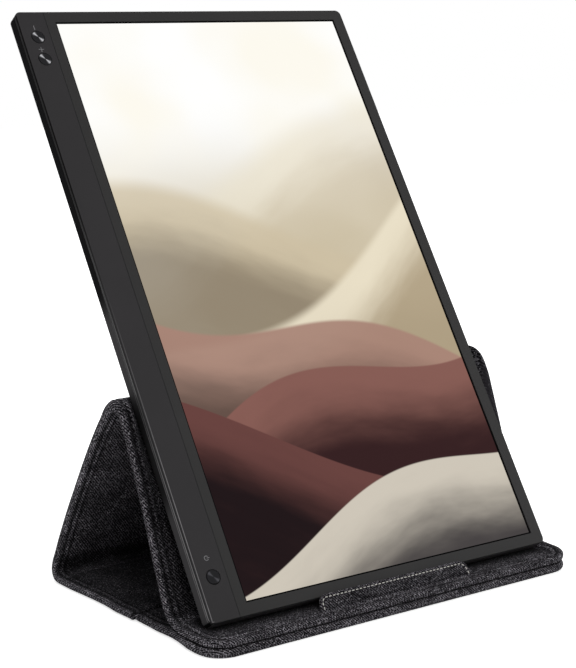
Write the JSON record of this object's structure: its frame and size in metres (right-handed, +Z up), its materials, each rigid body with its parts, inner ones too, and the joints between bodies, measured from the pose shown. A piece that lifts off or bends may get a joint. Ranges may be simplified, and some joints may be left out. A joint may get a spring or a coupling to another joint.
{
  "type": "portable monitor with folding cover",
  "caption": "Slim portable monitor in portrait, leaning on a fabric cover folded into a wedge stand with a ledge and stop tab.",
  "frame": {"origin": "middle of the cover's flat underside, on the surface it stands on", "axes": "+Z up, +X to the user's right, +Y to the back"},
  "size_m": [0.243, 0.21, 0.32],
  "materials": {
    "cover_fabric": "melange twill",
    "tab_fabric": "melange twill",
    "thread": "stitched thread",
    "fibre_board": "pressed board",
    "tab_core": "matte",
    "magnet": "plated",
    "case_plastic": "fine texture",
    "frame_plastic": "satin",
    "chin_plastic": "satin",
    "screen_glass": "satin",
    "foam": "matte",
    "white_film": "matte",
    "light_guide": "clear",
    "led_strip": "matte",
    "tray_metal": "pressed",
    "circuit_board": "solder mask",
    "flex_film": "film",
    "switch_plastic": "matte",
    "screw_steel": "blackened",
    "power_cap": "spun",
    "menu_cap": "spun"
  },
  "bodies": {
    "base": {"base_front_sleeve": "cover_fabric", "base_rear_sleeve": "cover_fabric", "base_crease": "cover_fabric", "base_front_board": "fibre_board", "base_rear_board": "fibre_board", "base_magnets": "magnet", "rear_fold_roll": "cover_fabric"},
    "back_panel": {"back_sleeve": "cover_fabric", "back_board": "fibre_board"},
    "support_panel": {"support_sleeve": "cover_fabric", "support_board": "fibre_board", "ridge_roll": "cover_fabric"},
    "ledge": {"ledge_sleeve": "cover_fabric", "ledge_board": "fibre_board", "ledge_magnets": "magnet", "front_fold_roll": "cover_fabric"},
    "stop_tab": {"tab_sleeve": "tab_fabric", "tab_stiffener": "tab_core", "tab_stitching": "thread"},
    "monitor": {"rear_cover": "case_plastic", "front_bezel": "frame_plastic", "chin_cover": "chin_plastic", "lcd_glass": "screen_glass", "bezel_gasket": "foam", "diffuser_sheet": "white_film", "light_guide": "light_guide", "reflector_sheet": "white_film", "led_bar": "led_strip", "lcd_frame": "tray_metal", "panel_driver_board": "circuit_board", "main_board": "circuit_board", "shield_can": "tray_metal", "usb_c_port": "tray_metal", "panel_flex": "flex_film", "key_board": "circuit_board", "power_key_board": "circuit_board", "key_switches": "switch_plastic", "case_screws": "screw_steel", "board_screws": "screw_steel"},
    "power_button": {"power_button": "power_cap"},
    "minus_button": {"minus_button": "menu_cap"},
    "plus_button": {"plus_button": "menu_cap"}
  },
  "joints": [
    {"name": "rear_fold", "type": "hinge", "parent": "base", "child": "back_panel", "pos_m": [0, 0.0808, 0.0053], "axis": [1, 0, 0], "range_deg": [0, 8]},
    {"name": "ridge_fold", "type": "hinge", "parent": "back_panel", "child": "support_panel", "pos_m": [0, 0.0013, 0.1096], "axis": [-1, 0, 0], "range_deg": [0, 22.1]},
    {"name": "front_fold", "type": "hinge", "parent": "support_panel", "child": "ledge", "pos_m": [0, -0.0423, 0.0081], "axis": [1, 0, 0], "range_deg": [0, 14.1]},
    {"name": "monitor_lean", "type": "hinge", "parent": "ledge", "child": "monitor", "pos_m": [0, -0.06552, 0.00969], "axis": [-1, 0, 0], "range_deg": [0, 11.38]},
    {"name": "tab_fold", "type": "hinge", "parent": "ledge", "child": "stop_tab", "pos_m": [0, -0.0792, 0.0104], "axis": [1, 0, 0], "range_deg": [0, 118]},
    {"name": "power_button_press", "type": "slide", "parent": "monitor", "child": "power_button", "axis": [0, 0.8508, -0.5255], "range_m": [0, 0.0005], "stiffness_N_per_m": 600},
    {"name": "minus_button_press", "type": "slide", "parent": "monitor", "child": "minus_button", "axis": [0, 0.8508, -0.5255], "range_m": [0, 0.0005], "stiffness_N_per_m": 600},
    {"name": "plus_button_press", "type": "slide", "parent": "monitor", "child": "plus_button", "axis": [0, 0.8508, -0.5255], "range_m": [0, 0.0005], "stiffness_N_per_m": 600}
  ],
  "couplings": [
    {"joint": "ridge_fold", "follows": "rear_fold", "ratio": 2.76},
    {"joint": "front_fold", "follows": "rear_fold", "ratio": 1.76},
    {"joint": "monitor_lean", "follows": "rear_fold", "ratio": 1.42}
  ]
}
